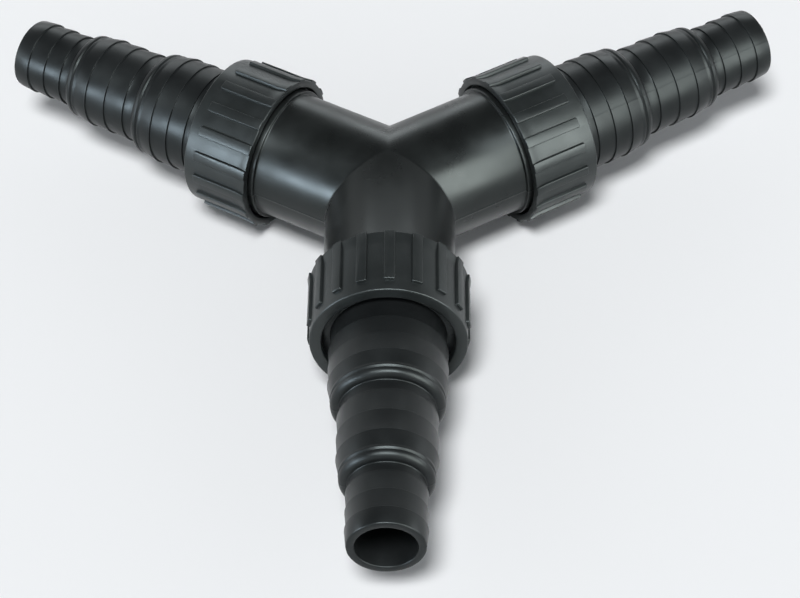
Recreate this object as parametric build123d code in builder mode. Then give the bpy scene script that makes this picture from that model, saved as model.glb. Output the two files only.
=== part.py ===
"""Three-way hose connector with a stepped, barbed tail on each leg.

Three equal tubes meet at 120 degrees to make the body, and it lies flat. Every leg carries the same
three loose pieces: a flat seal against the leg's end face, a hose tail whose flange sits on the seal,
and a union nut that screws onto the leg and holds the flange down with its lip.

Frame: millimetres, origin where the three leg axes meet, +Z up, front leg along -Y. Along a leg, a
station is a distance from the origin, and every piece on a leg is placed from the leg's end face.
"""

from build123d import *
from math import cos, radians, sin
import os

os.makedirs("parts", exist_ok=True)

# ---------------------------------------------------------------- driving dimensions, mm and degrees

# Thread, 1 1/2 inch parallel pipe size. Both walls stop at the roots of the thread.
THREAD_MAJOR_D = 47.8
THREAD_DEPTH = 1.48
THREAD_CLEARANCE = 0.25  # nut's thread root over the crest of the leg's thread
THREAD_LENGTH = 15.0  # collar to end face

# Body: three tubes, each with a stop collar and a threaded end.
LEG_ANGLE = {"front": -90.0, "right": 30.0, "left": 150.0}  # from +X, seen from above
LEG_END = 59.5  # end face of each leg, from the origin
TUBE_STEP = 0.22  # radial, tube under the root of its thread
TUBE_WALL = 3.2
COLLAR_CLEARANCE = 0.75  # radial, collar inside the nut's bore
COLLAR_WIDTH = 3.0

# Seal: a flat washer between the leg's end face and the tail's flange.
SEAL_THICKNESS = 2.0

# Union nut.
NUT_WALL = 1.95  # barrel over the bore
NUT_SKIRT = 1.5  # how far the open rim reaches back over the collar
NUT_LIP_THICKNESS = 3.2
NUT_LIP_HEIGHT = 2.2  # radial, lip inwards from the bore
NUT_FRONT_CHAMFER = 0.8
RIB_COUNT = 18
RIB_WIDTH = 3.9
RIB_HEIGHT = 0.95
RIB_SINK = 0.5  # how deep a rib is rooted in the barrel
RIB_FRONT_GAP = 4.2  # bare barrel between the ribs' front ends and the front face
NUT_ANGLE = {"front": -2.0, "right": 5.5, "left": -8.0}  # where each nut stopped, about its leg's axis

# Hose tail: flange, neck and three stages, the largest next to the nut. The nut's lip passes over it.
FLANGE_THICKNESS = 3.5
FLANGE_CLEARANCE = 0.8  # radial, flange and seal inside the nut's bore
NECK_LENGTH = 8.4  # flange to the first barb's back
CREST_CLEARANCE = 2.25  # radial, largest stage's barbs inside the nut's lip
STAGE_STEP = 3.3  # radial, one stage to the next
TAIL_WALL = 2.55  # bore to the barbs' roots
STAGE_WALL = 3.0  # end wall between one stage's bore and the front of its nose

# Barbs: each ramps up from its stage's root towards the body, then steps straight down.
BARB_COUNT = 3
BARB_HEIGHT = 0.65
BARB_RAMP = 3.6

# Nose: leading edge of the two larger stages, rounded by two bevels, with a shallow groove behind it.
NOSE_DROP = 1.05  # radial, nose under the stage's barbs
NOSE_ROUND = 2.4
NOSE_GROOVE_DEPTH = 0.25
NOSE_GROOVE_BACK = 1.0  # nose's end to the groove's bottom

LARGE_PITCH = 6.95
LARGE_LEAD = 9.7  # first barb's back to the stage's front

MIDDLE_PITCH = 8.05
MIDDLE_REAR_LENGTH = 4.3  # last barb's back to the next larger stage
MIDDLE_LEAD = 10.2

SMALL_PITCH = 6.95
SMALL_REAR_LENGTH = 3.6
SMALL_LEAD = 6.4
TIP_CHAMFER = 0.7

# ---------------------------------------------------------------- worked-out sizes

THREAD_ROOT_R = THREAD_MAJOR_D / 2 - THREAD_DEPTH
NUT_BORE_R = THREAD_MAJOR_D / 2 + THREAD_CLEARANCE
TUBE_R = THREAD_ROOT_R - TUBE_STEP
WATERWAY_R = TUBE_R - TUBE_WALL
COLLAR_R = NUT_BORE_R - COLLAR_CLEARANCE
THREAD_START = LEG_END - THREAD_LENGTH
COLLAR_START = THREAD_START - COLLAR_WIDTH

NUT_BARREL_R = NUT_BORE_R + NUT_WALL
NUT_LIP_R = NUT_BORE_R - NUT_LIP_HEIGHT
NUT_REAR = THREAD_START - NUT_SKIRT
RIB_TOP_R = NUT_BARREL_R + RIB_HEIGHT

LARGE_ROOT_R = NUT_LIP_R - CREST_CLEARANCE - BARB_HEIGHT
MIDDLE_ROOT_R = LARGE_ROOT_R - STAGE_STEP
SMALL_ROOT_R = MIDDLE_ROOT_R - STAGE_STEP
NOSE_STEP = NOSE_DROP - BARB_HEIGHT  # radial, nose under its stage's roots

FLANGE_R = NUT_BORE_R - FLANGE_CLEARANCE
FLANGE_REAR = LEG_END + SEAL_THICKNESS
FLANGE_FRONT = FLANGE_REAR + FLANGE_THICKNESS
NUT_FRONT = FLANGE_FRONT + NUT_LIP_THICKNESS

# Stations of each stage's first barb back and front, worked out from the flange towards the tip.
LARGE_BACK = FLANGE_FRONT + NECK_LENGTH + (BARB_COUNT - 1) * LARGE_PITCH
LARGE_FRONT = LARGE_BACK + LARGE_LEAD
MIDDLE_BACK = LARGE_FRONT + MIDDLE_REAR_LENGTH + (BARB_COUNT - 1) * MIDDLE_PITCH
MIDDLE_FRONT = MIDDLE_BACK + MIDDLE_LEAD
SMALL_BACK = MIDDLE_FRONT + SMALL_REAR_LENGTH + (BARB_COUNT - 1) * SMALL_PITCH
TIP = SMALL_BACK + SMALL_LEAD

# ---------------------------------------------------------------- planes and axes of a leg


def leg_axis(leg):
    """Unit vector outwards along a leg."""
    angle = radians(LEG_ANGLE[leg])
    return Vector(cos(angle), sin(angle), 0)


def section_plane(leg):
    """Upright plane through a leg's axis: sketch x is the station and sketch y is the radius."""
    return Plane(origin=(0, 0, 0), x_dir=leg_axis(leg), z_dir=leg_axis(leg).cross(Vector(0, 0, 1)))


def cross_plane(leg, station):
    """Plane square to a leg at a station, facing outwards, with sketch x upwards."""
    return Plane(origin=leg_axis(leg) * station, x_dir=(0, 0, 1), z_dir=leg_axis(leg))


def spin_axis(leg):
    """The line that a leg's turned pieces are revolved about."""
    return Axis((0, 0, 0), leg_axis(leg))


# ---------------------------------------------------------------- body

with BuildPart() as y_body:
    for leg in LEG_ANGLE:
        with BuildSketch(section_plane(leg)):
            with BuildLine():
                Polyline(
                    (0, 0),
                    (0, TUBE_R),
                    (COLLAR_START, TUBE_R),
                    (COLLAR_START, COLLAR_R),
                    (THREAD_START, COLLAR_R),
                    (THREAD_START, THREAD_ROOT_R),
                    (LEG_END, THREAD_ROOT_R),
                    (LEG_END, 0),
                    close=True,
                )
            make_face()
        revolve(axis=spin_axis(leg))
    for leg in LEG_ANGLE:
        with BuildSketch(cross_plane(leg, 0)):
            Circle(WATERWAY_R)
        extrude(amount=LEG_END, mode=Mode.SUBTRACT)

y_body.part.label = "y_body"
export_step(y_body.part, "parts/y_body.step")

# ---------------------------------------------------------------- seals

for leg in LEG_ANGLE:
    with BuildPart() as seal:
        with BuildSketch(cross_plane(leg, LEG_END)):
            Circle(FLANGE_R)
            Circle(WATERWAY_R, mode=Mode.SUBTRACT)
        extrude(amount=SEAL_THICKNESS)
    seal.part.label = f"{leg}_seal"
    export_step(seal.part, f"parts/{leg}_seal.step")

# ---------------------------------------------------------------- union nuts

for leg in LEG_ANGLE:
    with BuildPart() as nut:
        with BuildSketch(section_plane(leg)):
            with BuildLine():
                Polyline(
                    (NUT_REAR, NUT_BORE_R),
                    (NUT_REAR, NUT_BARREL_R),
                    (NUT_FRONT - NUT_FRONT_CHAMFER, NUT_BARREL_R),
                    (NUT_FRONT, NUT_BARREL_R - NUT_FRONT_CHAMFER),
                    (NUT_FRONT, NUT_LIP_R),
                    (FLANGE_FRONT, NUT_LIP_R),
                    (FLANGE_FRONT, NUT_BORE_R),
                    close=True,
                )
            make_face()
        revolve(axis=spin_axis(leg))
        with BuildSketch(cross_plane(leg, NUT_REAR)):
            with PolarLocations(NUT_BARREL_R, RIB_COUNT, start_angle=NUT_ANGLE[leg]):
                Rectangle(2 * (RIB_HEIGHT + RIB_SINK), RIB_WIDTH)
            Circle(RIB_TOP_R, mode=Mode.INTERSECT)
        extrude(amount=NUT_FRONT - RIB_FRONT_GAP - NUT_REAR)
    nut.part.label = f"{leg}_nut"
    export_step(nut.part, f"parts/{leg}_nut.step")

# ---------------------------------------------------------------- hose tails


def slope(*points):
    """Draw straight sloping lines. A two-point Bezier turns into a face with fewer facets than a cone."""
    for start, end in zip(points, points[1:]):
        Bezier(start, end)


def nose_line(front, wall_foot_r, nose_r, first_back, root_r):
    """Draw a stage's front wall, nose and groove, and the rise to where its first barb starts."""
    bevel = NOSE_ROUND * (1 - cos(radians(45)))
    Line((front, wall_foot_r), (front, nose_r - NOSE_ROUND))
    slope(
        (front, nose_r - NOSE_ROUND),
        (front - bevel, nose_r - bevel),
        (front - NOSE_ROUND, nose_r),
        (front - NOSE_ROUND - NOSE_GROOVE_BACK, nose_r - NOSE_GROOVE_DEPTH),
        (first_back + BARB_RAMP, root_r),
    )


def barbs_line(first_back, pitch, root_r, end):
    """Draw a stage's barbs, each a ramp, a back and a land, from the first ramp's start to a station."""
    crest_r = root_r + BARB_HEIGHT
    for number in range(BARB_COUNT):
        back = first_back - number * pitch
        is_last = number == BARB_COUNT - 1
        land_end = end if is_last else back - pitch + BARB_RAMP
        slope((back + BARB_RAMP, root_r), (back, crest_r))
        Polyline((back, crest_r), (back, root_r), (land_end, root_r))


for leg in LEG_ANGLE:
    with BuildPart() as tail:
        with BuildSketch(section_plane(leg)):
            with BuildLine():
                Polyline(
                    (TIP, SMALL_ROOT_R - TAIL_WALL),
                    (TIP, SMALL_ROOT_R - TIP_CHAMFER),
                    (TIP - TIP_CHAMFER, SMALL_ROOT_R),
                    (SMALL_BACK + BARB_RAMP, SMALL_ROOT_R),
                )
                barbs_line(SMALL_BACK, SMALL_PITCH, SMALL_ROOT_R, MIDDLE_FRONT)
                nose_line(MIDDLE_FRONT, SMALL_ROOT_R, MIDDLE_ROOT_R - NOSE_STEP, MIDDLE_BACK, MIDDLE_ROOT_R)
                barbs_line(MIDDLE_BACK, MIDDLE_PITCH, MIDDLE_ROOT_R, LARGE_FRONT)
                nose_line(LARGE_FRONT, MIDDLE_ROOT_R, LARGE_ROOT_R - NOSE_STEP, LARGE_BACK, LARGE_ROOT_R)
                barbs_line(LARGE_BACK, LARGE_PITCH, LARGE_ROOT_R, FLANGE_FRONT)
                Polyline(
                    (FLANGE_FRONT, LARGE_ROOT_R),
                    (FLANGE_FRONT, FLANGE_R),
                    (FLANGE_REAR, FLANGE_R),
                    (FLANGE_REAR, LARGE_ROOT_R - TAIL_WALL),
                    (LARGE_FRONT - STAGE_WALL, LARGE_ROOT_R - TAIL_WALL),
                    (LARGE_FRONT - STAGE_WALL, MIDDLE_ROOT_R - TAIL_WALL),
                    (MIDDLE_FRONT - STAGE_WALL, MIDDLE_ROOT_R - TAIL_WALL),
                    (MIDDLE_FRONT - STAGE_WALL, SMALL_ROOT_R - TAIL_WALL),
                    (TIP, SMALL_ROOT_R - TAIL_WALL),
                )
            make_face()
        revolve(axis=spin_axis(leg))
    tail.part.label = f"{leg}_tail"
    export_step(tail.part, f"parts/{leg}_tail.step")
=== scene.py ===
"""Looks of the three-way hose connector: moulded body, union nuts, seals and stepped hose tails."""

import logging
import math
from contextlib import contextmanager
from dataclasses import dataclass, field
from enum import Enum
from typing import Callable, Iterator, Sequence

import bmesh
import bpy
from mathutils import Matrix, Vector


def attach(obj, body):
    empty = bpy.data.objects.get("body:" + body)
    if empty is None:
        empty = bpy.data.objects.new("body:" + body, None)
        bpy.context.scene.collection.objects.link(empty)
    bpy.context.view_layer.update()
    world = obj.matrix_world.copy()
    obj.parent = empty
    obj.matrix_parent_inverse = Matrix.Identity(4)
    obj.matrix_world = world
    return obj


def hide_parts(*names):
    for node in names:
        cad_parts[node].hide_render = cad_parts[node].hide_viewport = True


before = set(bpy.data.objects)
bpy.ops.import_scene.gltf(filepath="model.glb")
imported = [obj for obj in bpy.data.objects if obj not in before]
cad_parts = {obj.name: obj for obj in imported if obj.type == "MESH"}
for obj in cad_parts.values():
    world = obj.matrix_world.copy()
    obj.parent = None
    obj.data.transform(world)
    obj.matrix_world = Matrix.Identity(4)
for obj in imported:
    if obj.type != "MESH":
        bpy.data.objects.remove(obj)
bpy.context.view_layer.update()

log = logging.getLogger("hose_connector")

MM = 0.001
TURN = 2 * math.pi
WELD = 1e-6  # points nearer than this are one point, metres
NEAR = 5 * WELD  # how far from its place a point may be when it is looked for, metres
ARC = 0.5  # profile of a bevel that makes a true arc


# ------------------------------------------------------------------------------ legs and sides


class Leg(Enum):
    """The three legs, each with its direction in degrees from +x, seen from above."""

    FRONT = -90.0
    RIGHT = 30.0
    LEFT = 150.0

    @property
    def word(self) -> str:
        """The leg's name as the CAD nodes spell it."""
        return self.name.lower()

    def lay(self, turn: float = 0.0) -> Matrix:
        """Lays a piece that was made upright along this leg.

        Args:
            turn: how far the piece is turned about its own axis first, in degrees.

        Returns:
            The matrix that takes local z outwards along the leg and local x straight up.
        """
        azimuth = math.radians(self.value)
        outward = Vector((math.cos(azimuth), math.sin(azimuth), 0.0))
        up = Vector((0.0, 0.0, 1.0))
        side = outward.cross(up)
        basis = Matrix((up, side, outward)).transposed().to_4x4()
        return basis @ Matrix.Rotation(math.radians(turn), 4, "Z")


class Part(Enum):
    """What an operator acts on in edit mode."""

    VERT = "verts"
    EDGE = "edges"


# ------------------------------------------------------------------------------ bench tools


def deselect() -> None:
    """Leaves nothing selected and nothing in edit mode."""
    if bpy.context.object and bpy.context.object.mode != "OBJECT":
        bpy.ops.object.mode_set(mode="OBJECT")
    bpy.ops.object.select_all(action="DESELECT")


def choose(piece: bpy.types.Object) -> None:
    """Makes one piece the only selected and the active one.

    Args:
        piece: the piece to work on next.
    """
    deselect()
    piece.select_set(True)
    bpy.context.view_layer.objects.active = piece


@contextmanager
def editing(piece: bpy.types.Object) -> Iterator[None]:
    """Opens a piece in edit mode and closes it again.

    Args:
        piece: the piece to edit.

    Yields:
        Nothing: the piece stays in edit mode for the length of the block.
    """
    choose(piece)
    bpy.ops.object.mode_set(mode="EDIT")
    bpy.ops.mesh.select_mode(type="VERT")
    yield
    bpy.ops.object.mode_set(mode="OBJECT")


def pick(piece: bpy.types.Object, part: Part, test: Callable[..., bool]) -> int:
    """Selects the points or edges that pass a test, and nothing else.

    Args:
        piece: the piece in edit mode.
        part: what is tested.
        test: says whether one of them is wanted.

    Returns:
        How many were selected.
    """
    bpy.ops.mesh.select_mode(type=part.name)
    bpy.ops.mesh.select_all(action="DESELECT")
    mesh = bmesh.from_edit_mesh(piece.data)
    found = [item for item in getattr(mesh, part.value) if test(item)]
    for item in found:
        item.select_set(True)
    mesh.select_flush_mode()
    bmesh.update_edit_mesh(piece.data)
    return len(found)


def weld(gap: float = WELD) -> None:
    """Merges doubled points of the piece in edit mode and turns its faces outwards.

    Args:
        gap: how far apart two doubled points may be, metres.
    """
    bpy.ops.mesh.select_all(action="SELECT")
    bpy.ops.mesh.remove_doubles(threshold=gap)
    bpy.ops.mesh.normals_make_consistent(inside=False)


def round_off(ease: float, segments: int, corners: bool = False) -> None:
    """Rounds the selected edges or corners of the piece in edit mode.

    Args:
        ease: how far back from the edge the rounding starts, mm.
        segments: how finely it is rounded.
        corners: whether corners are rounded, otherwise edges.
    """
    bpy.ops.mesh.bevel(
        offset=ease * MM,
        offset_type="OFFSET",
        affect="VERTICES" if corners else "EDGES",
        segments=segments,
        profile=ARC,
    )


def place(piece: bpy.types.Object, matrix: Matrix) -> None:
    """Moves a piece and puts the move in its mesh.

    Args:
        piece: the piece to move.
        matrix: where it goes.
    """
    piece.matrix_world = matrix
    choose(piece)
    bpy.ops.object.transform_apply(location=True, rotation=True, scale=True)


def copy_of(piece: bpy.types.Object, name: str) -> bpy.types.Object:
    """Copies a piece with a mesh of its own.

    Args:
        piece: the piece to copy.
        name: the copy's name.

    Returns:
        The copy.
    """
    twin = piece.copy()
    twin.data = piece.data.copy()
    twin.name = twin.data.name = name
    bpy.context.scene.collection.objects.link(twin)
    return twin


def join(pieces: Sequence[bpy.types.Object]) -> bpy.types.Object:
    """Joins pieces into the first of them.

    Args:
        pieces: the pieces, the one that stays first.

    Returns:
        The piece that stays.
    """
    choose(pieces[0])
    for piece in pieces[1:]:
        piece.select_set(True)
    bpy.ops.object.join()
    return pieces[0]


def scrap(piece: bpy.types.Object) -> None:
    """Throws a pattern piece away."""
    bpy.data.objects.remove(piece)


def smooth(piece: bpy.types.Object, angle: float = 32.0) -> None:
    """Shades a piece smooth where its faces meet at less than an angle in degrees."""
    choose(piece)
    bpy.ops.object.shade_smooth_by_angle(angle=math.radians(angle))


@dataclass(frozen=True)
class Corner:
    """A corner of a turned piece's section, in millimetres.

    Args:
        station: place along the axis.
        radius: distance from the axis.
        ease: how far back from the corner its rounding starts, 0 for a sharp corner.
        segments: how finely it is rounded.
    """

    station: float
    radius: float
    ease: float = 0.0
    segments: int = 3

    @property
    def point(self) -> Vector:
        """The corner in metres, in the section plane."""
        return Vector((self.radius * MM, 0.0, self.station * MM))


def turned(name: str, outline: Sequence[Corner], steps: int) -> bpy.types.Object:
    """Draws a closed section, rounds its corners and spins it about the z axis.

    Args:
        name: the piece's name.
        outline: the section's corners in order.
        steps: how many steps the spin has.

    Returns:
        The turned piece, closed and with its faces outwards.
    """
    deselect()
    bpy.ops.mesh.primitive_plane_add(size=MM)
    piece = bpy.context.object
    piece.name = piece.data.name = name
    with editing(piece):
        bpy.ops.mesh.select_all(action="SELECT")
        bpy.ops.mesh.merge(type="CENTER")
        at = outline[0].point
        bpy.ops.transform.translate(value=at)
        for corner in (*outline[1:], outline[0]):
            bpy.ops.mesh.extrude_vertices_move(TRANSFORM_OT_translate={"value": corner.point - at})
            at = corner.point
        bpy.ops.mesh.select_all(action="SELECT")
        bpy.ops.mesh.remove_doubles(threshold=WELD)
        for corner in outline:
            if corner.ease:
                pick(piece, Part.VERT, lambda v: (v.co - corner.point).length < NEAR)
                round_off(corner.ease, corner.segments, corners=True)
        bpy.ops.mesh.select_all(action="SELECT")
        bpy.ops.mesh.spin(steps=steps, angle=TURN, center=(0, 0, 0), axis=(0, 0, 1), dupli=False)
        weld()
    return piece


def raise_seam(piece: bpy.types.Object, low_r: float, width: float, height: float, upright: bool) -> None:
    """Raises the fine line that the two halves of a mould leave along a turned piece.

    Args:
        piece: the turned piece, still upright.
        low_r: the line is raised where the surface stands further than this from the axis, mm.
        width: half the line's width, mm.
        height: how far it stands proud, mm.
        upright: whether the line runs on the xz plane, otherwise on the yz plane.
    """
    across = (lambda co: co.y) if upright else (lambda co: co.x)

    def on_line(v: bmesh.types.BMVert) -> bool:
        """Whether a point is on the mould's parting plane and far enough out."""
        return abs(across(v.co)) < WELD and Vector((v.co.x, v.co.y)).length > low_r * MM

    def along(e: bmesh.types.BMEdge) -> bool:
        """Whether an edge runs along the parting plane."""
        return all(on_line(v) for v in e.verts)

    with editing(piece):
        pick(piece, Part.EDGE, along)
        round_off(width, segments=2)
        pick(piece, Part.VERT, on_line)
        bpy.ops.transform.shrink_fatten(value=height * MM)


@dataclass(frozen=True)
class Ridge:
    """One ridge of thread wound about the z axis, in millimetres, with both ends run out into the wall.

    Args:
        name: the ridge's name.
        root_r: radius of the wall that it stands on.
        crest_r: radius of its crest, more than the wall's outside and less inside a nut.
        pitch: rise in one turn.
        start: station of its middle at angle 0.
        turns: number of turns.
        phase: angle that it starts at, in turns.
        foot: half its width at the foot.
        tip: half its width at the crest.
        sunk: how far its foot reaches into the wall.
        corners: points in its section.
        steps: steps in one turn.
        runout: steps over which an end fades into the wall.
    """

    name: str
    root_r: float
    crest_r: float
    pitch: float
    start: float
    turns: float
    phase: float
    foot: float = 0.90
    tip: float = 0.22
    sunk: float = 0.12
    corners: int = 4
    steps: int = 72
    runout: int = 18

    @property
    def base(self) -> float:
        """Radius of the foot, inside the wall, in metres."""
        inward = 1 if self.crest_r > self.root_r else -1
        return (self.root_r - inward * self.sunk) * MM

    @property
    def crest(self) -> float:
        """Radius of the crest, in metres."""
        return self.crest_r * MM

    def section(self) -> bpy.types.Object:
        """Shapes the ridge's section out of a plane.

        Returns:
            The section's outline, where the ridge starts.
        """
        deselect()
        bpy.ops.mesh.primitive_plane_add(size=2 * self.foot * MM, rotation=(math.pi / 2, 0, 0))
        piece = bpy.context.object
        piece.name = piece.data.name = self.name
        bpy.ops.object.transform_apply(location=True, rotation=True, scale=True)
        with editing(piece):
            pick(piece, Part.VERT, lambda v: v.co.x < 0)
            bpy.ops.transform.translate(value=(self.base + self.foot * MM, 0, 0))
            pick(piece, Part.VERT, lambda v: abs(v.co.x - self.base) > WELD)
            bpy.ops.transform.translate(value=(self.crest - self.foot * MM, 0, 0))
            bpy.ops.transform.resize(value=(1, 1, self.tip / self.foot), center_override=(0, 0, 0))
            bpy.ops.mesh.select_all(action="SELECT")
            bpy.ops.mesh.delete(type="ONLY_FACE")
            bpy.ops.mesh.select_all(action="SELECT")
            bpy.ops.transform.translate(value=(0, 0, (self.start + self.phase * self.pitch) * MM))
        place(piece, Matrix.Rotation(self.phase * TURN, 4, "Z"))
        return piece

    def fade(self, piece: bpy.types.Object) -> None:
        """Closes the ridge's ends and sinks their crest into the wall.

        Args:
            piece: the wound ridge.
        """
        rings = len(piece.data.vertices) // self.corners
        with editing(piece):
            pick(piece, Part.EDGE, lambda e: e.is_boundary)
            bpy.ops.mesh.edge_face_add()
            for number in (*range(self.runout), *range(rings - self.runout, rings)):
                from_end = min(number, rings - 1 - number)
                reach = self.base + (self.crest - self.base) * math.sin(from_end / self.runout * math.pi / 2)
                own = range(number * self.corners, (number + 1) * self.corners)
                pick(piece, Part.VERT, lambda v: v.index in own and abs(v.co.xy.length - self.crest) < NEAR)
                share = reach / self.crest
                bpy.ops.transform.resize(value=(share, share, 1), center_override=(0, 0, 0))
            weld()

    def wind(self) -> bpy.types.Object:
        """Winds the section up into the ridge.

        Returns:
            The ridge, closed.
        """
        piece = self.section()
        winding = piece.modifiers.new("winding", "SCREW")
        winding.axis = "Z"
        winding.angle = self.turns * TURN
        winding.screw_offset = self.turns * self.pitch * MM
        winding.steps = winding.render_steps = round(self.turns * self.steps)
        winding.use_merge_vertices = False
        choose(piece)
        bpy.ops.object.modifier_apply(modifier=winding.name)
        self.fade(piece)
        return piece


# ------------------------------------------------------------------------------ finishes


def linear(hex_colour: str) -> tuple[float, float, float, float]:
    """Turns an sRGB hex colour to the linear values that a shader takes.

    Args:
        hex_colour: six hex digits after a hash.

    Returns:
        Red, green, blue and alpha.
    """
    shares = [int(hex_colour[i : i + 2], 16) / 255 for i in (1, 3, 5)]
    red, green, blue = (s / 12.92 if s <= 0.04045 else ((s + 0.055) / 1.055) ** 2.4 for s in shares)
    return red, green, blue, 1.0


def add(
    tree: bpy.types.NodeTree, kind: str, settings: dict | None = None, links: dict | None = None
) -> bpy.types.Node:
    """Adds a node with its settings and the links to its inputs.

    Args:
        tree: the node tree.
        kind: the node's type without its prefix, such as TexNoise.
        settings: values by input name, or by property name where there is no such input.
        links: source sockets by input name.

    Returns:
        The node.
    """
    node = tree.nodes.new("ShaderNode" + kind)
    for name, value in (settings or {}).items():
        if name in node.inputs:
            node.inputs[name].default_value = value
        else:
            setattr(node, name, value)
    for name, source in (links or {}).items():
        tree.links.new(source, node.inputs[name])
    return node


@dataclass(frozen=True)
class MouldedPlastic:
    """Injection-moulded black polypropylene: a dark body colour under a soft satin sheen.

    The mould's fine spark-eroded grain breaks the sheen up, and slow flow of the melt leaves it a
    little uneven, so no highlight has a hard or perfectly even edge.

    Args:
        name: the material's name.
        colour: body colour.
        pale: colour where the surface is slightly bloomed or rubbed.
        roughness: the sheen's middle roughness.
        spread: how far the roughness wanders from it.
        grain: size of the grain, mm, drawn coarse enough to show.
        grain_depth: depth of the grain, mm.
        flow: size of the slow unevenness, mm.
        flow_depth: depth of that unevenness, mm.
        specular: specular level.
        tint: colour of the sheen seen straight on.
        grain_detail: octaves of the grain.
        grain_mix: how strong its finer octaves are.
        flow_detail: octaves of the unevenness.
        flow_mix: how strong its finer octaves are.
        flow_range: the part of the flow pattern that the roughness is spread over.
        ior: index of refraction, 1.49 for polypropylene and near enough for rubber.
    """

    name: str
    colour: str
    pale: str
    roughness: float
    spread: float
    grain: float
    grain_depth: float
    flow: float
    flow_depth: float
    specular: float
    tint: str = "#F3FFFD"
    grain_detail: float = 2.0
    grain_mix: float = 0.6
    flow_detail: float = 3.0
    flow_mix: float = 0.55
    flow_range: tuple[float, float] = (0.3, 0.7)
    ior: float = 1.49

    def make(self) -> bpy.types.Material:
        """Builds the material.

        Returns:
            The material, on Object coordinates.
        """
        material = bpy.data.materials.new(self.name)
        material.use_nodes = True
        tree = material.node_tree
        tree.nodes.clear()
        where = add(tree, "TexCoord").outputs["Object"]
        grain = add(
            tree,
            "TexNoise",
            {"Scale": 1 / (self.grain * MM), "Detail": self.grain_detail, "Roughness": self.grain_mix},
            {"Vector": where},
        )
        flow = add(
            tree,
            "TexNoise",
            {"Scale": 1 / (self.flow * MM), "Detail": self.flow_detail, "Roughness": self.flow_mix},
            {"Vector": where},
        )
        gloss = add(
            tree,
            "MapRange",
            {
                "From Min": self.flow_range[0],
                "From Max": self.flow_range[1],
                "To Min": self.roughness - self.spread,
                "To Max": self.roughness + self.spread,
            },
            {"Value": flow.outputs["Fac"]},
        )
        shade = add(
            tree,
            "Mix",
            {"data_type": "RGBA", "A": linear(self.colour), "B": linear(self.pale)},
            {"Factor": flow.outputs["Fac"]},
        )
        slow = add(
            tree,
            "Bump",
            {"Strength": 1.0, "Distance": self.flow_depth * MM},
            {"Height": flow.outputs["Fac"]},
        )
        fine = add(
            tree,
            "Bump",
            {"Strength": 1.0, "Distance": self.grain_depth * MM},
            {"Height": grain.outputs["Fac"], "Normal": slow.outputs["Normal"]},
        )
        shader = add(
            tree,
            "BsdfPrincipled",
            {
                "IOR": self.ior,
                "Metallic": 0.0,
                "Specular IOR Level": self.specular,
                "Specular Tint": linear(self.tint),
            },
            {
                "Base Color": shade.outputs["Result"],
                "Roughness": gloss.outputs["Result"],
                "Normal": fine.outputs["Normal"],
            },
        )
        add(tree, "OutputMaterial", links={"Surface": shader.outputs["BSDF"]})
        return material


# The body's mould is the smoothest, so the tubes carry the clearest bands of light.
BODY_PLASTIC = MouldedPlastic(
    name="moulded_polypropylene_body",
    colour="#121414",
    pale="#181A1A",
    roughness=0.31,
    spread=0.07,
    grain=0.7,
    grain_depth=0.006,
    flow=16.0,
    flow_depth=0.03,
    specular=0.36,
)
# The nuts' mould is eroded all over, which spreads the light and makes them the greyest pieces.
NUT_PLASTIC = MouldedPlastic(
    name="moulded_polypropylene_nut",
    colour="#171A1A",
    pale="#1F2223",
    roughness=0.38,
    spread=0.05,
    grain=0.7,
    grain_depth=0.010,
    flow=11.0,
    flow_depth=0.03,
    specular=0.46,
)
# The tails' mould is turned and left plain: dark, with a soft sheen that only shows near a lamp's angle.
TAIL_PLASTIC = MouldedPlastic(
    name="moulded_polypropylene_tail",
    colour="#141617",
    pale="#1B1D1E",
    roughness=0.37,
    spread=0.07,
    grain=0.7,
    grain_depth=0.010,
    flow=13.0,
    flow_depth=0.03,
    specular=0.26,
)
# Black rubber is moulded with the same grain, but is so rough that it has hardly any sheen.
SEAL_RUBBER = MouldedPlastic(
    name="moulded_rubber_seal",
    colour="#131414",
    pale="#1C1D1D",
    roughness=0.70,
    spread=0.06,
    grain=0.9,
    grain_depth=0.02,
    flow=6.0,
    flow_depth=0.02,
    specular=0.35,
)


def dress(piece: bpy.types.Object, material: bpy.types.Material) -> None:
    """Gives a piece one material all over.

    Args:
        piece: the piece.
        material: its finish.
    """
    piece.data.materials.clear()
    piece.data.materials.append(material)


def settle(piece: bpy.types.Object, node: str) -> None:
    """Puts a finished piece in place of a CAD node, which it hides, and hangs the piece on that node's body.

    Args:
        piece: the finished piece.
        node: the CAD node it replaces, also the body it rides on.
    """
    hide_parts(node)
    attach(piece, node)


# ------------------------------------------------------------------------------ sub-assemblies


@dataclass
class Thread:
    """Parallel pipe thread shared by the legs and the nuts, in millimetres."""

    pitch: float = 2.309
    leg_root_r: float = 22.42
    leg_crest_r: float = 23.88
    nut_root_r: float = 24.15
    nut_crest_r: float = 22.68
    start: float = 46.2
    leg_turns: float = 5.0
    nut_turns: float = 5.4

    def on_leg(self) -> bpy.types.Object:
        """The ridge round a leg's end."""
        size = (self.leg_root_r, self.leg_crest_r, self.pitch, self.start, self.leg_turns)
        return Ridge("leg_thread", *size, phase=0.0).wind()

    def in_nut(self, turn: float) -> bpy.types.Object:
        """The ridge inside a nut, half a pitch from the leg's.

        Args:
            turn: how far the nut is turned about its axis when it is laid on its leg, degrees.

        Returns:
            The ridge, turned back by that angle so that it still meets the leg's thread.
        """
        size = (self.nut_root_r, self.nut_crest_r, self.pitch, self.start, self.nut_turns)
        ridge = Ridge("nut_thread", *size, phase=-0.5).wind()
        place(ridge, Matrix.Rotation(math.radians(-turn), 4, "Z"))
        return ridge


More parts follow.
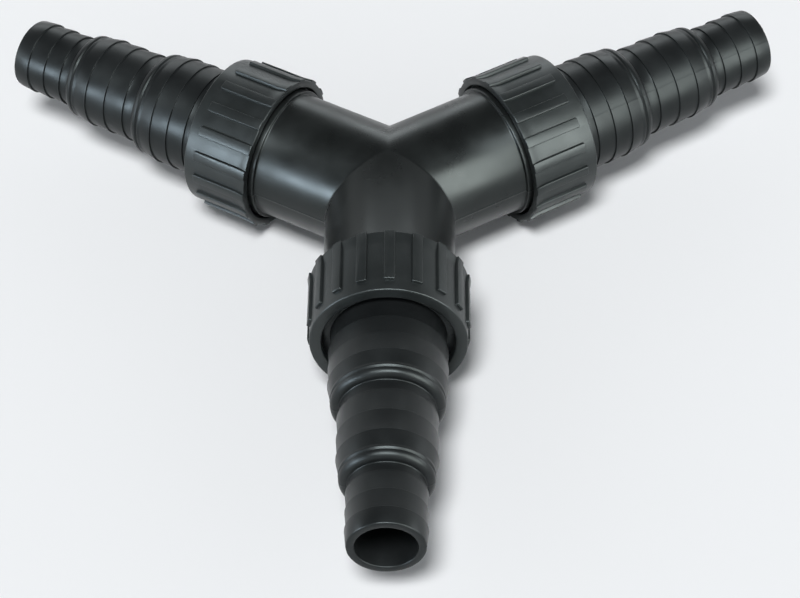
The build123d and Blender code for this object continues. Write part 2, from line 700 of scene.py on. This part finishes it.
@dataclass
class Body:
    """The moulded Y: three equal tubes mitred together, each with a stop collar and a threaded end.

    All sizes are in millimetres. A name that ends in _ease is how far back a corner's rounding starts.
    """

    tube_r: float = 22.2
    waterway_r: float = 19.0
    collar_start: float = 41.5
    collar_end: float = 44.5
    collar_r: float = 23.4
    leg_end: float = 59.5
    overrun: float = 30.0  # how far a blank runs past the middle before it is mitred
    mitre_angle: float = 60.0  # between a leg and the mitre on either side of it, degrees
    mitre_gap: float = 0.01  # how far apart the same point on two mitred legs may be
    crease: float = 0.45
    crease_segments: int = 3
    foot_ease: float = 0.25
    collar_ease: float = 0.4
    end_ease: float = 0.6
    bore_ease: float = 0.5
    seam_width: float = 0.16
    seam_height: float = 0.06
    seam_sink: float = 0.1  # the mould line is raised from this far under the tube's surface outwards
    steps: int = 144
    thread: Thread = field(default_factory=Thread)

    def blank(self) -> bpy.types.Object:
        """One leg as a plain tube that runs past the middle of the Y.

        Returns:
            The leg, upright.
        """
        outline = (
            Corner(-self.overrun, self.waterway_r),
            Corner(-self.overrun, self.tube_r),
            Corner(self.collar_start, self.tube_r, self.foot_ease),
            Corner(self.collar_start, self.collar_r, self.foot_ease),
            Corner(self.collar_end, self.collar_r, self.collar_ease),
            Corner(self.collar_end, self.thread.leg_root_r),
            Corner(self.leg_end, self.thread.leg_root_r, self.end_ease, segments=2),
            Corner(self.leg_end, self.waterway_r, self.bore_ease),
        )
        return turned("body_shell", outline, self.steps)

    def mitre(self, leg: bpy.types.Object) -> None:
        """Cuts a leg's inner end to the two upright planes between it and its neighbours.

        Args:
            leg: the leg's blank, still upright.
        """
        angle = math.radians(self.mitre_angle)
        with editing(leg):
            for side in (1, -1):
                bpy.ops.mesh.select_all(action="SELECT")
                bpy.ops.mesh.bisect(
                    plane_co=(0, 0, 0),
                    plane_no=(0, side * math.cos(angle), -math.sin(angle)),
                    clear_outer=True,
                    clear_inner=False,
                    use_fill=False,
                    threshold=WELD,
                )

    def soften_creases(self, body: bpy.types.Object) -> None:
        """Rounds the creases where the tubes meet on the outside.

        Args:
            body: the joined body.
        """
        middle_r = (self.tube_r + self.waterway_r) / 2 * MM

        def outside(v: bmesh.types.BMVert) -> bool:
            """Tells whether a point on a mitre belongs to the outer wall.

            Args:
                v: the point.

            Returns:
                True where it does, and False for all points off the mitres.
            """
            for leg in Leg:
                angle = math.radians(leg.value + self.mitre_angle)
                along = Vector((math.cos(angle), math.sin(angle), 0))
                reach = v.co.dot(along)
                if (v.co - along * reach).xy.length < NEAR and reach > -NEAR:
                    across = reach * math.sin(math.radians(self.mitre_angle))
                    return math.hypot(across, v.co.z) > middle_r
            return False

        with editing(body):
            count = pick(body, Part.EDGE, lambda e: all(outside(v) for v in e.verts))
            log.info("creases: %d edges", count)
            bpy.ops.mesh.bevel(
                offset=self.crease * MM,
                offset_type="OFFSET",
                segments=self.crease_segments,
                profile=ARC,
                clamp_overlap=True,
            )
            bpy.ops.mesh.select_all(action="SELECT")
            bpy.ops.mesh.remove_doubles(threshold=WELD)

    def build(self, finish: bpy.types.Material) -> bpy.types.Object:
        """Builds and dresses the body.

        Args:
            finish: its material.

        Returns:
            The body, in place.
        """
        leg = self.blank()
        raise_seam(leg, self.tube_r - self.seam_sink, self.seam_width, self.seam_height, upright=False)
        self.mitre(leg)
        legs = []
        for side in Leg:
            twin = copy_of(leg, f"{side.word}_tube")
            place(twin, side.lay())
            legs.append(twin)
        scrap(leg)
        body = join(legs)
        body.name = body.data.name = "y_body_shell"
        with editing(body):
            weld(self.mitre_gap * MM)
        self.soften_creases(body)
        ridges = []
        for side in Leg:
            ridge = self.thread.on_leg()
            place(ridge, side.lay())
            ridges.append(ridge)
        body = join([body, *ridges])
        smooth(body)
        dress(body, finish)
        settle(body, "y_body")
        return body


@dataclass
class UnionNut:
    """A union nut: ribbed barrel, inner thread, and a lip that holds the tail's flange, in millimetres."""

    rear: float = 43.0
    lip_back: float = 65.0
    front: float = 68.2
    barrel_r: float = 26.1
    rim_flare: float = 0.75  # how much wider the barrel is at its rear rim
    rib_flare: float = 0.35  # how much taller a rib is there
    flare_length: float = 3.5
    lip_r: float = 21.95
    bore_chamfer: float = 1.2  # length of the lead-in at the bore's mouth
    bore_lead: float = 0.25  # how much wider the mouth is
    bore_ease: float = 0.2
    rim_ease: float = 0.4
    flare_ease: float = 1.5
    front_ease: float = 0.5
    rib_count: int = 18
    rib_width: float = 3.9
    rib_top_r: float = 27.05
    rib_front: float = 64.0
    rib_foot_r: float = 25.0
    rib_draft: float = 0.90  # width of a rib's top as a share of its foot's
    rib_crown: float = 0.06
    rib_setback: float = 0.03  # keeps the ribs' rear ends off the plane of the rim
    rib_end_ease: float = 0.4
    rib_edge_ease: float = 0.22
    rib_segments: int = 3
    steps: int = 180
    thread: Thread = field(default_factory=Thread)

    def barrel(self) -> bpy.types.Object:
        """The nut without its ribs and thread.

        Returns:
            The barrel, upright.
        """
        outline = (
            Corner(self.rear, self.thread.nut_root_r + self.bore_lead, self.bore_ease),
            Corner(self.rear, self.barrel_r + self.rim_flare, self.rim_ease),
            Corner(self.rear + self.flare_length, self.barrel_r, self.flare_ease),
            Corner(self.front, self.barrel_r, self.front_ease, segments=4),
            Corner(self.front, self.lip_r, self.front_ease, segments=4),
            Corner(self.lip_back, self.lip_r, self.bore_ease),
            Corner(self.lip_back, self.thread.nut_root_r),
            Corner(self.rear + self.bore_chamfer, self.thread.nut_root_r),
        )
        return turned("nut_barrel", outline, self.steps)

    def rib(self) -> bpy.types.Object:
        """One rib, crowned, drafted, flared at the rear and rounded at its front end.

        Returns:
            The rib, upright, on the +x side of the nut.
        """
        rear = self.rear + self.rib_setback
        length, height = self.rib_front - rear, self.rib_top_r - self.rib_foot_r
        deselect()
        bpy.ops.mesh.primitive_cube_add(
            size=MM,
            location=((self.rib_foot_r + height / 2) * MM, 0, (rear + length / 2) * MM),
            scale=(height, self.rib_width, length),
        )
        rib = bpy.context.object
        bpy.ops.object.transform_apply(location=True, rotation=True, scale=True)
        top, front = self.rib_top_r * MM - NEAR, self.rib_front * MM - NEAR
        facing_out = math.cos(math.pi / 4)
        cuts = (((0, 0, (self.rear + self.flare_length) * MM), (0, 0, 1)), ((0, 0, 0), (0, 1, 0)))

        def on_front_corner(e: bmesh.types.BMEdge) -> bool:
            """Whether an edge stands upright at a corner of the rib's front end."""
            upright = abs(e.verts[0].co.x - e.verts[1].co.x) > MM
            return upright and all(v.co.z > front and abs(v.co.y) > MM for v in e.verts)

        def on_top_rim(e: bmesh.types.BMEdge) -> bool:
            """Whether an edge parts the rib's top from one of its sides."""
            return len(e.link_faces) == 2 and sum(f.normal.x > facing_out for f in e.link_faces) == 1

        with editing(rib):
            for centre, normal in cuts:
                bpy.ops.mesh.select_all(action="SELECT")
                bpy.ops.mesh.bisect(plane_co=centre, plane_no=normal, threshold=WELD)
            pick(rib, Part.VERT, lambda v: v.co.x > top)
            bpy.ops.transform.resize(value=(1, self.rib_draft, 1), center_override=(0, 0, 0))
            pick(rib, Part.VERT, lambda v: v.co.x > top and abs(v.co.y) < WELD)
            bpy.ops.transform.translate(value=(self.rib_crown * MM, 0, 0))
            pick(rib, Part.VERT, lambda v: v.co.x > top and v.co.z < rear * MM + NEAR)
            bpy.ops.transform.translate(value=(self.rib_flare * MM, 0, 0))
            pick(rib, Part.EDGE, on_front_corner)
            round_off(self.rib_end_ease, self.rib_segments)
            pick(rib, Part.EDGE, on_top_rim)
            round_off(self.rib_edge_ease, self.rib_segments)
            weld()
        return rib

    def pattern(self) -> bpy.types.Object:
        """A whole nut without its thread.

        Returns:
            The nut, upright.
        """
        barrel, rib = self.barrel(), self.rib()
        ribs = []
        for number in range(self.rib_count):
            twin = copy_of(rib, "rib")
            place(twin, Matrix.Rotation(TURN * number / self.rib_count, 4, "Z"))
            ribs.append(twin)
        scrap(rib)
        ring = join(ribs)
        union = barrel.modifiers.new("ribs", "BOOLEAN")
        union.operation = "UNION"
        union.solver = "EXACT"
        union.object = ring
        choose(barrel)
        bpy.ops.object.modifier_apply(modifier=union.name)
        scrap(ring)
        return barrel

    def build(self, turns: dict[Leg, float], finish: bpy.types.Material) -> list[bpy.types.Object]:
        """Builds and dresses one nut for each leg.

        Args:
            turns: how far each nut is turned about its leg's axis, degrees.
            finish: their material.

        Returns:
            The nuts, in place.
        """
        pattern = self.pattern()
        nuts = []
        for leg, turn in turns.items():
            nut = join([copy_of(pattern, f"{leg.word}_union_nut"), self.thread.in_nut(turn)])
            place(nut, leg.lay(turn))
            smooth(nut)
            dress(nut, finish)
            settle(nut, f"{leg.word}_nut")
            nuts.append(nut)
        scrap(pattern)
        return nuts


@dataclass
class Seal:
    """A flat rubber washer between a leg's end face and its tail's flange, in millimetres."""

    back: float = 59.52
    thickness: float = 1.96
    outer_r: float = 23.35
    inner_r: float = 19.0
    inner_ease: float = 0.25
    outer_ease: float = 0.45
    steps: int = 128

    def build(self, finish: bpy.types.Material) -> list[bpy.types.Object]:
        """Builds and dresses one seal for each leg.

        Args:
            finish: their material.

        Returns:
            The seals, in place.
        """
        front = self.back + self.thickness
        outline = (
            Corner(self.back, self.inner_r, self.inner_ease),
            Corner(self.back, self.outer_r, self.outer_ease),
            Corner(front, self.outer_r, self.outer_ease),
            Corner(front, self.inner_r, self.inner_ease),
        )
        pattern = turned("seal_pattern", outline, self.steps)
        seals = []
        for leg in Leg:
            seal = copy_of(pattern, f"{leg.word}_flat_seal")
            place(seal, leg.lay())
            smooth(seal)
            dress(seal, finish)
            settle(seal, f"{leg.word}_seal")
            seals.append(seal)
        scrap(pattern)
        return seals


@dataclass(frozen=True)
class Stage:
    """One stage of a hose tail, in millimetres.

    Args:
        crest_r: radius over the barbs.
        pitch: barb to barb.
        back: station of the first barb's back, counted from the tip.
        end: station where the stage meets the next larger one or the flange.
        bore_r: radius of its bore.
    """

    crest_r: float
    pitch: float
    back: float
    end: float
    bore_r: float


@dataclass
class HoseTail:
    """A stepped hose tail: a flange and three barbed stages, in millimetres."""

    flange_rear: float = 61.5
    flange_r: float = 23.35
    tip: float = 151.5
    large: Stage = Stage(crest_r=19.7, pitch=6.95, back=87.3, end=65.0, bore_r=16.5)
    middle: Stage = Stage(crest_r=16.4, pitch=8.05, back=117.4, end=97.0, bore_r=13.2)
    small: Stage = Stage(crest_r=13.1, pitch=6.95, back=145.1, end=127.6, bore_r=9.9)
    large_nose_r: float = 18.65
    middle_nose_r: float = 15.35
    barb_count: int = 3
    barb_height: float = 0.65
    crest_ease: float = 0.2
    root_ease: float = 0.12
    wall_ease: float = 0.35
    nose_round: float = 2.5
    nose_step: float = 0.01  # a hair's step that parts the nose's rounding from the groove
    groove_back: float = 0.5  # this and the next two are counted back from the end of that rounding
    ring_back: float = 1.3
    ring_end: float = 2.3
    groove_depth: float = 0.45
    groove_ease: float = 0.15
    ring_height: float = 0.15
    ring_ease: float = 0.25
    ring_end_ease: float = 0.3
    wall: float = 3.0  # how far behind a stage's front wall its bore steps down
    bore_ease: float = 0.5
    tip_ease: float = 0.55
    tip_bore_ease: float = 0.45
    flange_ease: float = 0.4
    seam_width: float = 0.11
    seam_height: float = 0.03
    seam_sink: float = 1.0  # the mould line is raised from this far under the smallest stage outwards
    steps: int = 128

    def nose(self, front: float, foot_r: float, nose_r: float) -> list[Corner]:
        """Corners of a stage's front wall, rounded nose, groove and the ring behind the groove.

        Args:
            front: station of the front wall.
            foot_r: radius of the smaller stage that the wall stands on.
            nose_r: radius of the nose.

        Returns:
            The corners, from the wall's foot to the start of the first ramp.
        """
        shoulder = front - self.nose_round
        return [
            Corner(front, foot_r, self.wall_ease),
            Corner(front, nose_r, self.nose_round, segments=8),
            Corner(shoulder - self.nose_step, nose_r + self.nose_step),
            Corner(shoulder - self.groove_back, nose_r - self.groove_depth, self.groove_ease, segments=2),
            Corner(shoulder - self.ring_back, nose_r + self.ring_height, self.ring_ease),
            Corner(shoulder - self.ring_end, nose_r, self.ring_end_ease),
        ]

    def barbs(self, stage: Stage) -> list[Corner]:
        """Corners of a stage's barbs, each a long ramp up to a crest and a straight back.

        Args:
            stage: the stage.

        Returns:
            The corners, from the first crest to the last back's foot.
        """
        root_r = stage.crest_r - self.barb_height
        corners = []
        for number in range(self.barb_count):
            back = stage.back - number * stage.pitch
            corners.append(Corner(back, stage.crest_r, self.crest_ease))
            corners.append(Corner(back, root_r, self.root_ease, segments=2))
        return corners

    def pattern(self) -> bpy.types.Object:
        """One tail with its mould line.

        Returns:
            The tail, upright.
        """
        small_root = self.small.crest_r - self.barb_height
        middle_root = self.middle.crest_r - self.barb_height
        large_root = self.large.crest_r - self.barb_height
        large_front, middle_front = self.middle.end, self.small.end
        outline = [
            Corner(self.tip, self.small.bore_r, self.tip_bore_ease),
            Corner(self.tip, small_root, self.tip_ease, segments=4),
            *self.barbs(self.small),
            *self.nose(middle_front, small_root, self.middle_nose_r),
            *self.barbs(self.middle),
            *self.nose(large_front, middle_root, self.large_nose_r),
            *self.barbs(self.large),
            Corner(self.large.end, large_root, self.flange_ease),
            Corner(self.large.end, self.flange_r, self.flange_ease),
            Corner(self.flange_rear, self.flange_r, self.flange_ease),
            Corner(self.flange_rear, self.large.bore_r, self.bore_ease),
            Corner(large_front - self.wall, self.large.bore_r, self.bore_ease),
            Corner(large_front - self.wall, self.middle.bore_r, self.bore_ease),
            Corner(middle_front - self.wall, self.middle.bore_r, self.bore_ease),
            Corner(middle_front - self.wall, self.small.bore_r, self.bore_ease),
        ]
        tail = turned("tail_pattern", outline, self.steps)
        raise_seam(tail, small_root - self.seam_sink, self.seam_width, self.seam_height, upright=True)
        return tail

    def build(self, turns: dict[Leg, float], finish: bpy.types.Material) -> list[bpy.types.Object]:
        """Builds and dresses one tail for each leg.

        Args:
            turns: where each tail's mould line lies, in degrees from straight up.
            finish: their material.

        Returns:
            The tails, in place.
        """
        pattern = self.pattern()
        tails = []
        for leg, turn in turns.items():
            tail = copy_of(pattern, f"{leg.word}_hose_tail")
            place(tail, leg.lay(turn))
            smooth(tail)
            dress(tail, finish)
            settle(tail, f"{leg.word}_tail")
            tails.append(tail)
        scrap(pattern)
        return tails


# ------------------------------------------------------------------------------ studio


def bearing(azimuth: float, elevation: float) -> Vector:
    """The way from the connector towards a lamp or the camera.

    Args:
        azimuth: degrees round from the front leg's side.
        elevation: degrees above the floor.

    Returns:
        A vector one long.
    """
    turn, lift = math.radians(azimuth), math.radians(elevation)
    return Vector((math.sin(turn) * math.cos(lift), -math.cos(turn) * math.cos(lift), math.sin(lift)))


@dataclass(frozen=True)
class SoftBox:
    """A soft box a metre away that faces the connector and is seen only as gloss.

    Args:
        name: the lamp's name.
        azimuth: where it stands, degrees round from the front leg's side.
        elevation: degrees above the floor.
        size: its width and height, metres.
        power: watts.
        colour: its colour.
    """

    name: str
    azimuth: float
    elevation: float
    size: tuple[float, float]
    power: float
    colour: str

    def hang(self) -> None:
        """Hangs the lamp in the studio."""
        light = bpy.data.lights.new(self.name, "AREA")
        light.shape = "RECTANGLE"
        light.size, light.size_y = self.size
        light.energy = self.power
        light.color = linear(self.colour)[:3]
        lamp = bpy.data.objects.new(self.name, light)
        lamp.location = bearing(self.azimuth, self.elevation)
        lamp.rotation_euler = (-lamp.location).to_track_quat("-Z", "Y").to_euler()
        lamp.visible_diffuse = False
        bpy.context.scene.collection.objects.link(lamp)


SOFT_BOXES = (
    SoftBox("left_box", -57.0, 11.0, size=(0.50, 0.22), power=9.2, colour="#DCE8F7"),
    SoftBox("right_box", 57.0, 25.0, size=(0.50, 0.80), power=13.8, colour="#F4F6F4"),
    SoftBox("top_box", 0.0, 61.0, size=(0.70, 0.25), power=20.0, colour="#F0F4F8"),
    SoftBox("back_box", 180.0, 21.0, size=(0.9, 0.30), power=2.3, colour="#EEF3F6"),
    SoftBox("side_left_box", -92.0, 10.0, size=(0.4, 0.3), power=2.0, colour="#E6EEF8"),
    SoftBox("side_right_box", 92.0, 10.0, size=(0.4, 0.3), power=2.6, colour="#F2F5F8"),
)


@dataclass
class Studio:
    """Pale floor, soft lights and the camera. Places are in millimetres and angles in degrees."""

    floor_z: float = -27.5
    floor_size: float = 6.0  # metres
    floor_colour: str = "#ECEEF0"
    wall_glow: float = 1.05
    ceiling_glow: float = 0.06
    ceiling_from: float = 0.14  # height at which the walls start to darken, 1 is straight overhead
    ceiling_to: float = 0.80
    key_strength: float = 2.80
    key_from: tuple[float, float, float] = (-0.11, -0.48, 1.0)
    key_angle: float = 18.0
    boxes: tuple[SoftBox, ...] = SOFT_BOXES
    image_width: float = 800.0  # pixels
    focal_px: float = 2524.45
    sensor: float = 36.0
    clip: tuple[float, float] = (0.05, 20.0)  # metres
    azimuth: float = 1.855
    elevation: float = 47.612
    roll: float = -2.09
    distance: float = 839.6
    target: tuple[float, float, float] = (3.641, -48.681, 0.0)

    def floor(self) -> None:
        """A wide pale sheet under the connector."""
        deselect()
        bpy.ops.mesh.primitive_plane_add(size=self.floor_size, location=(0, 0, self.floor_z * MM))
        floor = bpy.context.object
        floor.name = floor.data.name = "studio_floor"
        bpy.ops.object.transform_apply(location=True, rotation=True, scale=True)
        material = bpy.data.materials.new("matt_paper")
        material.use_nodes = True
        tree = material.node_tree
        tree.nodes.clear()
        shader = add(tree, "BsdfDiffuse", {"Color": linear(self.floor_colour), "Roughness": 0.0})
        add(tree, "OutputMaterial", links={"Surface": shader.outputs["BSDF"]})
        dress(floor, material)

    def world(self) -> None:
        """Pale walls all round in the floor's own colour, under a dim ceiling."""
        world = bpy.data.worlds.new("studio")
        bpy.context.scene.world = world
        world.use_nodes = True
        tree = world.node_tree
        tree.nodes.clear()
        where = add(tree, "TexCoord").outputs["Generated"]
        height = add(tree, "SeparateXYZ", links={"Vector": where}).outputs["Z"]
        glow = add(
            tree,
            "MapRange",
            {
                "interpolation_type": "SMOOTHSTEP",
                "From Min": self.ceiling_from,
                "From Max": self.ceiling_to,
                "To Min": self.wall_glow,
                "To Max": self.ceiling_glow,
            },
            {"Value": height},
        )
        colour = linear(self.floor_colour)
        room = add(tree, "Background", {"Color": colour}, {"Strength": glow.outputs["Result"]})
        add(tree, "OutputWorld", links={"Surface": room.outputs["Background"]})

    def lights(self) -> None:
        """The key light, which gives shade and shadow, and the soft boxes, which give the gloss."""
        key = bpy.data.lights.new("key", "SUN")
        key.energy = self.key_strength
        key.angle = math.radians(self.key_angle)
        lamp = bpy.data.objects.new("key", key)
        lamp.rotation_euler = (-Vector(self.key_from)).to_track_quat("-Z", "Y").to_euler()
        lamp.visible_glossy = False
        bpy.context.scene.collection.objects.link(lamp)
        for box in self.boxes:
            box.hang()

    def camera(self) -> None:
        """The camera, almost in line with the front leg and looking down on the connector."""
        data = bpy.data.cameras.new("camera")
        data.sensor_width = self.sensor
        data.lens = self.focal_px / self.image_width * self.sensor
        data.clip_start, data.clip_end = self.clip
        back = bearing(self.azimuth, self.elevation)
        right = (-back).cross(Vector((0, 0, 1))).normalized()
        up = right.cross(-back)
        level = Matrix((right, up, back)).transposed()
        rolled = level @ Matrix.Rotation(math.radians(self.roll), 3, "Z")
        stand = Matrix.Translation((Vector(self.target) + back * self.distance) * MM)
        camera = bpy.data.objects.new("camera", data)
        camera.matrix_world = stand @ rolled.to_4x4()
        bpy.context.scene.collection.objects.link(camera)
        bpy.context.scene.camera = camera

    def build(self) -> None:
        """Sets the studio up."""
        self.floor()
        self.world()
        self.lights()
        self.camera()
        bpy.context.scene.view_settings.view_transform = "Standard"


# ------------------------------------------------------------------------------ assembly


NUT_TURNS = {Leg.FRONT: -2.0, Leg.RIGHT: 5.5, Leg.LEFT: -8.0}  # where each nut stopped, degrees
LINE_TURNS = {Leg.FRONT: 90.0, Leg.RIGHT: 49.3, Leg.LEFT: 45.0}  # each tail's mould line, degrees


def main() -> None:
    """Builds the connector and the studio round it."""
    logging.basicConfig(level=logging.INFO, format="%(message)s")
    Studio().build()
    pieces = [
        Body().build(BODY_PLASTIC.make()),
        *UnionNut().build(NUT_TURNS, NUT_PLASTIC.make()),
        *Seal().build(SEAL_RUBBER.make()),
        *HoseTail().build(LINE_TURNS, TAIL_PLASTIC.make()),
    ]
    for piece in pieces:
        log.info("%s: %d faces", piece.name, len(piece.data.polygons))


if __name__ == "__main__":
    main()
